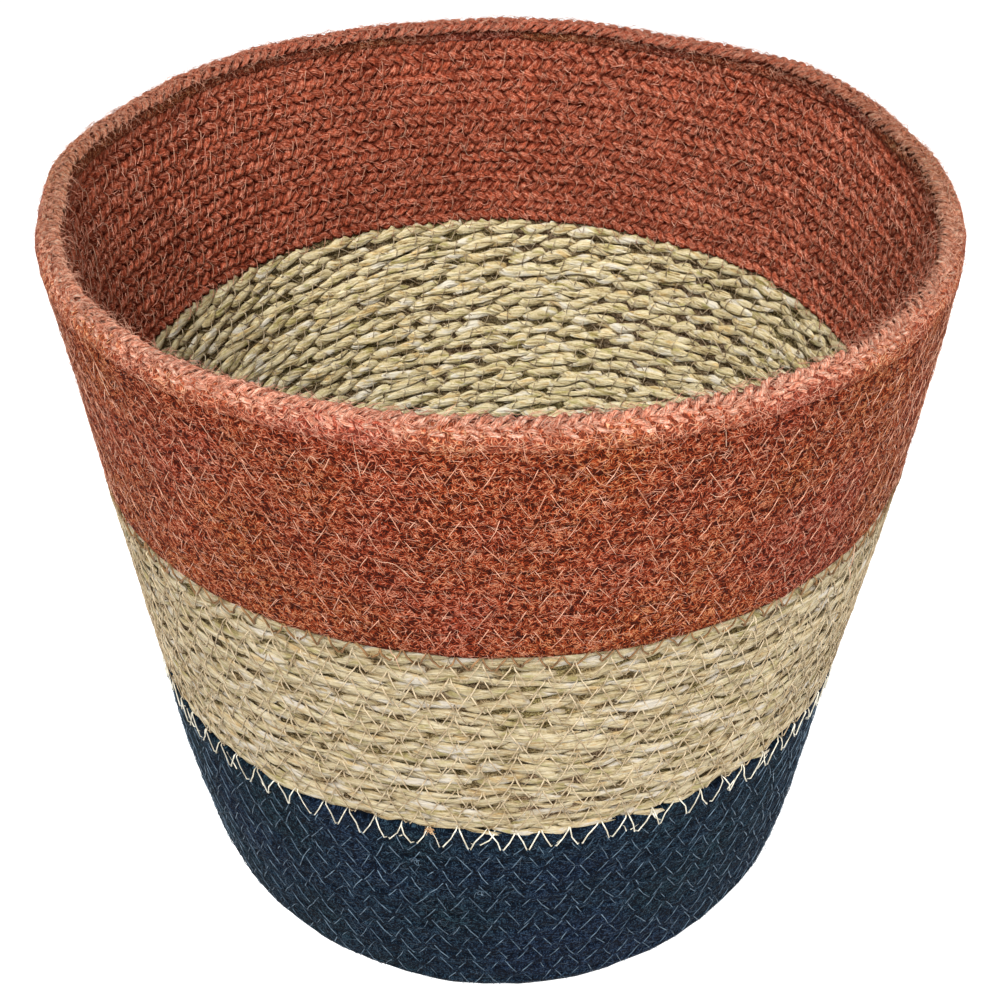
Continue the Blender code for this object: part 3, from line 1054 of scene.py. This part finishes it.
def dress_navy():
    """The navy plait of the wall and the base, and its felted outer face."""
    jute = yarn_material("navy_yarn", (0.004, 0.007, 0.014), (0.012, 0.022, 0.038),
                         (0.040, 0.062, 0.090), painted_hollow_shade=(0.30, 0.30, 0.32))
    felt = felt_material("navy_felt", (0.0006, 0.002, 0.005), (0.0018, 0.0066, 0.0158),
                         (0.0058, 0.0155, 0.031), (0.030, 0.057, 0.090),
                         painted_groove_shade=(0.90, 0.90, 0.90), length=1.7, width=0.62, knobs=360.0)
    row_strip("navy_felted_face", BASE_END, NAVY_TURNS, felt,
              front=JUTE_FACE, back=0.0002, step=0.0035)
    for number, (first, last) in cuts_of(NAVY_CUTS):
        jute_plait(f"navy_wall_plait_{number}", "navy_wall_cord", first, last, jute,
                   steps=7)
    row_strip("navy_base_felted_face", BASE_MIDDLE, BASE_END, felt,
              front=JUTE_FACE, back=0.0014)
    jute_plait("navy_base_plait", "base_cord", BASE_MIDDLE, BASE_END, jute,
               steps=8)


def dress_seagrass():
    """The seagrass cord, a dark strip of painted shade that fills its rows behind the plies, and
    loose ends of its leaves.
    """
    leaf = seagrass_material("seagrass_leaf")
    # Painted shade: a dark strip inside the cord that shows in the gaps between its plies as the
    # shade there, with more painted shade at its row edges.
    shadow = felt_material("seagrass_painted_shade_fill", (0.070, 0.044, 0.018), (0.190, 0.125, 0.055),
                           (0.300, 0.215, 0.105), (0.410, 0.315, 0.175), painted_groove_shade=(0.6, 0.6, 0.6))
    row_strip("seagrass_painted_shade_fill", NAVY_TURNS, SEAGRASS_END, shadow,
              front=0.0020, back=-0.0008, step=0.0036)
    for number, (first, last) in cuts_of(SEAGRASS_CUTS):
        seagrass_cord(f"seagrass_wall_cord_{number}", first, last, leaf)
    leaf_slivers("seagrass_outer_leaves", 750, leaf, seed=41)
    leaf_slivers("seagrass_inner_leaves", 450, leaf, seed=42, inner=True)


def sew_rows(looks, section):
    """The sewing threads, which zigzag over the seam below every turn."""
    first, last = BASE_END, NAVY_TURNS
    outside = zigzag(first, last, 0.0048, -0.0085, 0.0010, seed=11, sink=0.0002)
    inside = zigzag(first, last, 0.0048, -0.0055, -0.0012, seed=12, inside=True)
    stitches("navy_stitches", [outside, inside], FINE_THREAD, looks["slate_thread"],
             section)

    first, last = BASE_SEAM_START, BASE_END
    outside = zigzag(first, last, 0.0048, -0.0080, 0.0010, seed=13)
    inside = zigzag(first, last, 0.0048, -0.0055, -0.0012, seed=14, inside=True)
    stitches("navy_base_stitches", [outside, inside], FINE_THREAD, looks["slate_thread"],
             section)

    first, last = NAVY_TURNS, NAVY_TURNS + 1
    over = zigzag(first, last, 0.0038, -0.0108, -0.0008, seed=15, bow=0.0012, lift=0.0004)
    under = zigzag(first, last, 0.0053, -0.0092, -0.0030, seed=55, bow=0.0012, sink=0.0010,
                   lift=0.0002)
    stitches("navy_top_stitches", [over, under], COARSE_THREAD, looks["cream_thread"],
             section)

    first, last = NAVY_TURNS + 1, SEAGRASS_END
    outside = zigzag(first, last, 0.0038, -0.0074, 0.0014, seed=16, lift=0.0002)
    inside = zigzag(first, last, 0.0038, -0.0042, 0.0004, seed=17, inside=True)
    stitches("seagrass_stitches", [outside, inside], MIDDLE_THREAD, looks["straw_thread"],
             section)

    first, last = SEAGRASS_END, SEAGRASS_END + 1
    outside = zigzag(first, last, 0.0031, -0.0080, -0.0024, seed=18, bow=0.0012, lift=-0.0001)
    stitches("seagrass_top_stitches", [outside], COARSEST_THREAD, looks["rust_thread"],
             section)

    last = LAST_TURN - 1
    outside = zigzag(SEAGRASS_END + 1, last, 0.0043, -0.0076, 0.0002, seed=19, sink=0.0003)
    inside = zigzag(SEAGRASS_END, last, 0.0036, -0.0066, -0.0004, seed=20, inside=True)
    stitches("terracotta_stitches", [outside, inside], FINEST_THREAD,
             looks["terracotta_thread"], section)


def add_loose_fibre(looks, section):
    """The fuzz and strays of the jute, and the ends of the sewing threads."""
    band = (SEAGRASS_END, LAST_TURN - 1)
    upper_band = (SEAGRASS_END + 1, LAST_TURN - 1)
    hairs("terracotta_fuzz", 10000, band, 0.0030, 0.00007, 0.10,
          looks["terracotta_fibre"], section, seed=31)
    hairs("terracotta_inner_fuzz", 6000, band, 0.0024, 0.00011, 0.12,
          looks["terracotta_inner_fibre"], section, seed=32, face="inner")
    hairs("terracotta_strays", 45, band, 0.0100, 0.00012, 0.12,
          looks["pale_fibre"], section, seed=35, bends=8)
    hairs("terracotta_inner_strays", 16, upper_band, 0.0100, 0.00012, 0.15,
          looks["pale_fibre"], section, seed=36, face="inner", bends=8)
    hairs("rim_fuzz", 4000, (RIM_START, RIM_START + 1), 0.0030, 0.00007, 0.20,
          looks["terracotta_fibre"], section, seed=33, face="rim")
    hairs("navy_fuzz", 4500, (BASE_END, NAVY_TURNS), 0.0030, 0.00006, 0.22,
          looks["navy_fibre"], section, seed=34)
    tufts("sewing_knot", KNOTS, 0.0017, 16, looks["knot_fibre"], section)
    tufts("navy_thread_ends", THREAD_ENDS, 0.0020, 6, looks["slate_thread"], section)


def main():
    """The studio, then every piece of the basket."""
    make_camera()
    make_studio()
    section = thread_section()
    looks = {name: thread_material(name, *colours) for name, colours in THREAD_COLOURS.items()}
    dress_terracotta()
    dress_navy()
    dress_seagrass()
    sew_rows(looks, section)
    add_loose_fibre(looks, section)
    bpy.data.objects.remove(section, do_unlink=True)


main()
